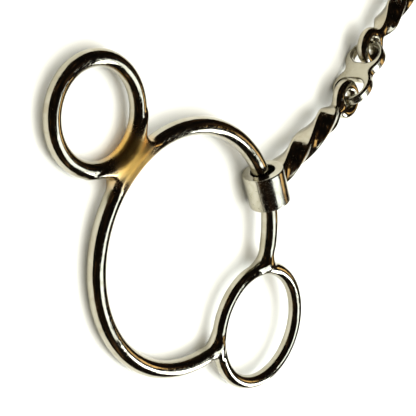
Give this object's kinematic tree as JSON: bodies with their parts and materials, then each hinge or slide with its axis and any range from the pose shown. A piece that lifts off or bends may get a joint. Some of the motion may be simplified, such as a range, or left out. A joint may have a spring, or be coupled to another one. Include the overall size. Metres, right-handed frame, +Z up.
{
  "type": "three-ring gag bit",
  "caption": "Steel riding bit with ring cheeks, drilled sleeves that slide on the main rings, and a twisted mouth jointed at a flat centre link.",
  "frame": {"origin": "middle of the bit's box, at the height of the surface it lies on", "axes": "+X along the mouth from the left cheek to the right one, +Z up from the table, +Y towards the cheekpiece rings"},
  "size_m": [0.33, 0.1686, 0.017],
  "materials": {
    "cheek_steel": "hand-polished cast stainless steel, golden tint in the web",
    "turned_steel": "turned and polished stainless steel with faint lathe marks on its faces",
    "mouth_steel": "polished stainless steel, worn smooth at the twist's edges",
    "link_steel": "polished cast stainless steel, softly rounded edges"
  },
  "bodies": {
    "centre_link": {"centre_link": "link_steel"},
    "left_arm": {"left_arm": "mouth_steel"},
    "left_sleeve": {"left_sleeve": "turned_steel"},
    "left_cheek": {"left_cheek": "cheek_steel"},
    "right_arm": {"right_arm": "mouth_steel"},
    "right_sleeve": {"right_sleeve": "turned_steel"},
    "right_cheek": {"right_cheek": "cheek_steel"}
  },
  "joints": [
    {"name": "left_link_hinge", "type": "hinge", "parent": "centre_link", "child": "left_arm", "pos_m": [-0.01359, -0.02182, 0.0081], "axis": [0, 0, 1], "range_deg": [-75, 75]},
    {"name": "left_cheek_swing", "type": "hinge", "parent": "left_arm", "child": "left_sleeve", "pos_m": [-0.07451, -0.01412, 0.0081], "axis": [0.2233, 0.9748, 0], "range_deg": [-120, 120]},
    {"name": "left_ring_slide", "type": "hinge", "parent": "left_sleeve", "child": "left_cheek", "pos_m": [-0.11782, -0.0042, 0.00566], "axis": [-0.0534, 0.0122, 0.9985], "range_deg": [-78, 27]},
    {"name": "right_link_hinge", "type": "hinge", "parent": "centre_link", "child": "right_arm", "pos_m": [0.01277, -0.01514, 0.0081], "axis": [0, 0, 1], "range_deg": [-75, 75]},
    {"name": "right_cheek_swing", "type": "hinge", "parent": "right_arm", "child": "right_sleeve", "pos_m": [0.07402, -0.01086, 0.0081], "axis": [0.1685, -0.9857, 0], "range_deg": [-120, 120]},
    {"name": "right_ring_slide", "type": "hinge", "parent": "right_sleeve", "child": "right_cheek", "pos_m": [0.11782, -0.00337, 0.00566], "axis": [-0.054, -0.0092, -0.9985], "range_deg": [-78, 27]}
  ]
}
